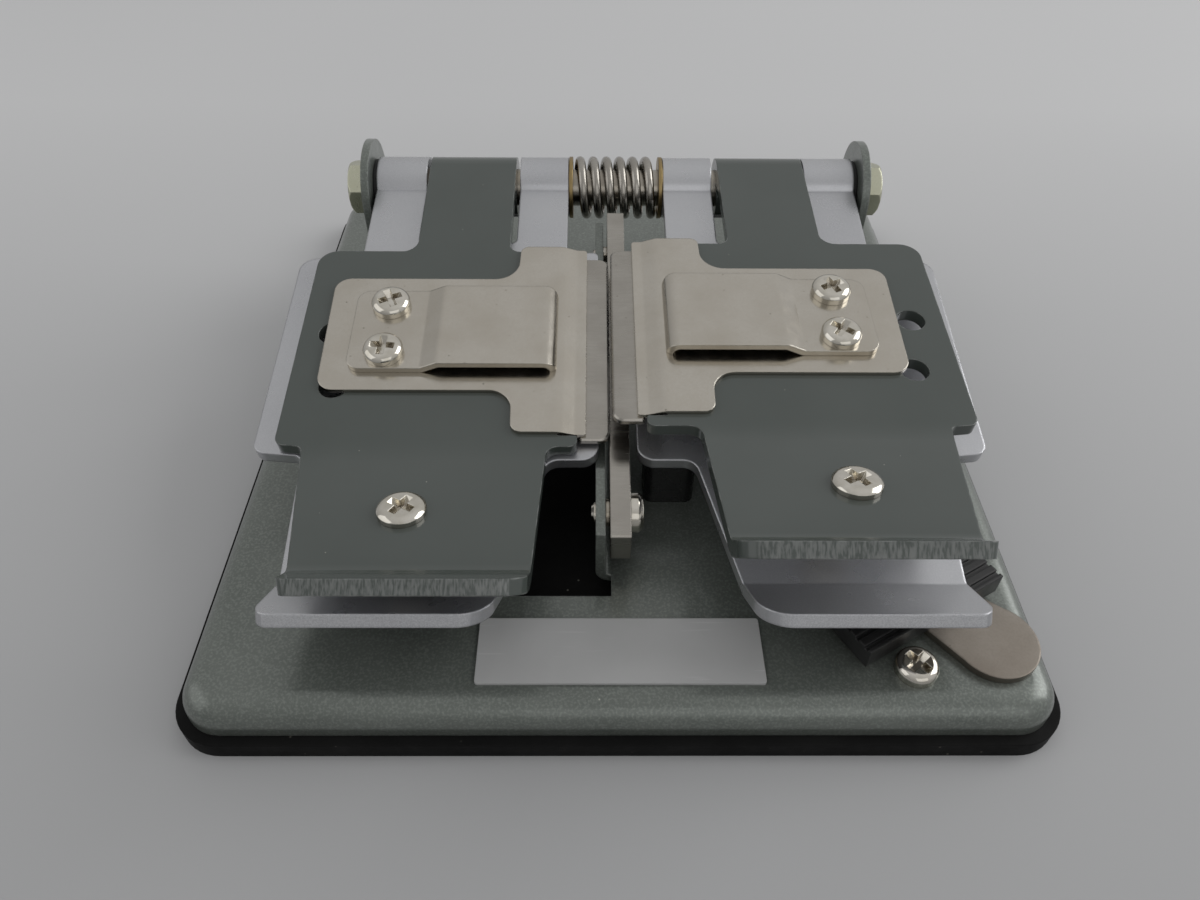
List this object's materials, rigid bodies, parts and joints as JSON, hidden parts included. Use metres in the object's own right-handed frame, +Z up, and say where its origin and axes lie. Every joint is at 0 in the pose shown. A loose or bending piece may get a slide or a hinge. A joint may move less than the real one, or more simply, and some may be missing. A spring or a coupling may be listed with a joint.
{
  "type": "film splicer",
  "caption": "Small film splicer: hinged bed and clamp plates in pairs on one rear shaft over a pressed sheet base, with a fixed bar between them and a sliding scraper block.",
  "frame": {"origin": "on the ground under the middle of the mat", "axes": "+X right, +Y towards the hinge at the back, +Z up"},
  "size_m": [0.104, 0.114, 0.0321],
  "materials": {
    "mat_rubber": "matte, moulded",
    "base_paint": "grey-green hammered paint",
    "arm_paint": "grey-green satin paint",
    "bed_plating": "satin plating",
    "nickel": "warm brushed nickel",
    "bright_steel": "bright",
    "zinc": "pale yellow zinc",
    "brass": "dull",
    "black_gloss": "glossy black",
    "black_block": "satin black",
    "dark_fibre": "dark fibre, matte",
    "plate_blank": "satin, bare"
  },
  "bodies": {
    "base": {"base_mat": "mat_rubber", "base_cover": "base_paint", "name_plate": "plate_blank", "base_screw": "bright_steel", "hinge_shaft": "bright_steel", "hinge_bolts": "zinc", "shaft_washers": "dark_fibre", "spring_collars": "brass", "spacer_spring": "bright_steel", "centre_bar": "bright_steel", "bar_shims": "bright_steel", "bar_screw": "nickel", "bar_dowel": "bright_steel", "rest_buffers": "black_gloss", "scraper_clip": "nickel", "clip_rivet": "nickel"},
    "left_bed": {"left_lower_plate": "bed_plating", "left_register_pins": "bright_steel"},
    "left_clamp": {"left_upper_plate": "arm_paint", "left_pressure_plate": "nickel", "left_blade": "bright_steel", "left_leaf_spring": "nickel", "left_clamp_screws": "nickel", "left_tongue_screw": "bright_steel"},
    "right_bed": {"right_lower_plate": "bed_plating", "right_register_pins": "bright_steel"},
    "right_clamp": {"right_upper_plate": "arm_paint", "right_pressure_plate": "nickel", "right_blade": "bright_steel", "right_leaf_spring": "nickel", "right_clamp_screws": "nickel", "right_tongue_screw": "bright_steel"},
    "scraper": {"scraper_block": "black_block", "scraper_paddle": "nickel", "scraper_rivets": "nickel"}
  },
  "joints": [
    {"name": "left_bed_hinge", "type": "hinge", "parent": "base", "child": "left_bed", "pos_m": [0, 0.0287, 0.024], "axis": [-1, 0, 0], "range_deg": [0, 95]},
    {"name": "left_clamp_hinge", "type": "hinge", "parent": "left_bed", "child": "left_clamp", "pos_m": [0, 0.0287, 0.024], "axis": [-1, 0, 0], "range_deg": [0, 95]},
    {"name": "right_bed_hinge", "type": "hinge", "parent": "base", "child": "right_bed", "pos_m": [0, 0.0287, 0.024], "axis": [-1, 0, 0], "range_deg": [0, 95]},
    {"name": "right_clamp_hinge", "type": "hinge", "parent": "right_bed", "child": "right_clamp", "pos_m": [0, 0.0287, 0.024], "axis": [-1, 0, 0], "range_deg": [-4, 91]},
    {"name": "scraper_slide", "type": "slide", "parent": "base", "child": "scraper", "axis": [0.8634, 0.5045, 0], "range_m": [0, 0.014]}
  ]
}
